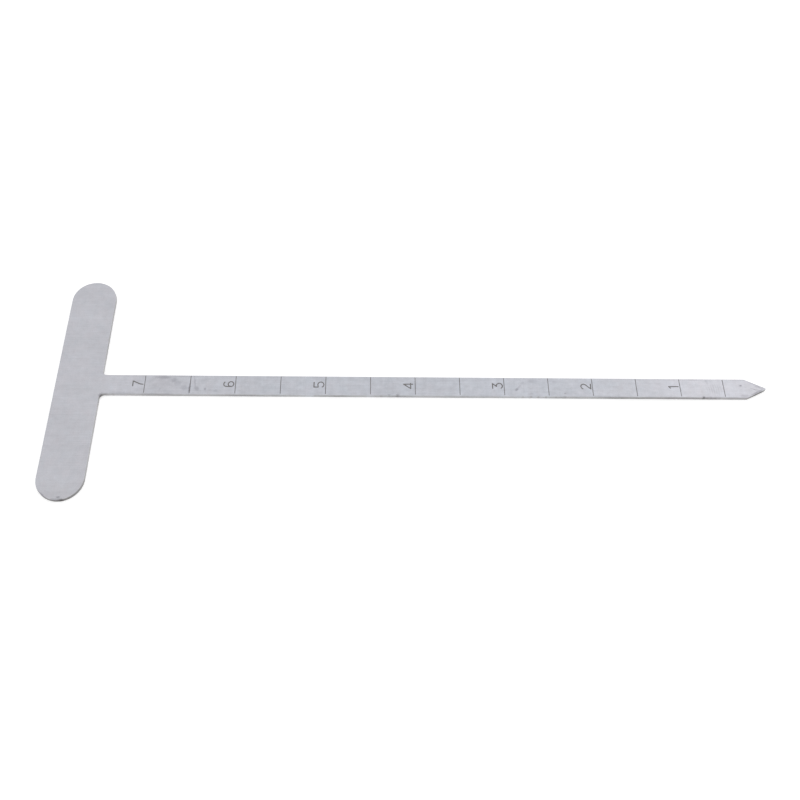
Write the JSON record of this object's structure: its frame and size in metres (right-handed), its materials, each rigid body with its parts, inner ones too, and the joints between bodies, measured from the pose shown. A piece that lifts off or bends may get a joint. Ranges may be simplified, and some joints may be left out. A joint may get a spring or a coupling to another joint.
{
  "type": "garden dibber",
  "caption": "Flat T-shaped sheet-steel dibber: a round-ended cross handle, a slim flat stem with an engraved half-inch depth scale and numerals, and a symmetric point.",
  "frame": {"origin": "middle of the overall box in plan, on the flat back face that the tool lies on", "axes": "+X along the stem to the point, +Y along the handle, +Z out of the engraved face"},
  "size_m": [0.2022, 0.07, 0.0012],
  "materials": {
    "steel": "satin, fine rolled grain with tumbled edges",
    "mark": "matt dark layer in shallow engraving"
  },
  "bodies": {
    "root": {"dibber_body": "steel", "line_0_5_inch": "mark", "line_1_0_inch": "mark", "line_1_5_inch": "mark", "line_2_0_inch": "mark", "line_2_5_inch": "mark", "line_3_0_inch": "mark", "line_3_5_inch": "mark", "line_4_0_inch": "mark", "line_4_5_inch": "mark", "line_5_0_inch": "mark", "line_5_5_inch": "mark", "line_6_0_inch": "mark", "line_6_5_inch": "mark", "line_7_0_inch": "mark", "numeral_1": "mark", "numeral_2": "mark", "numeral_3": "mark", "numeral_4": "mark", "numeral_5": "mark", "numeral_6": "mark", "numeral_7": "mark"}
  },
  "joints": []
}
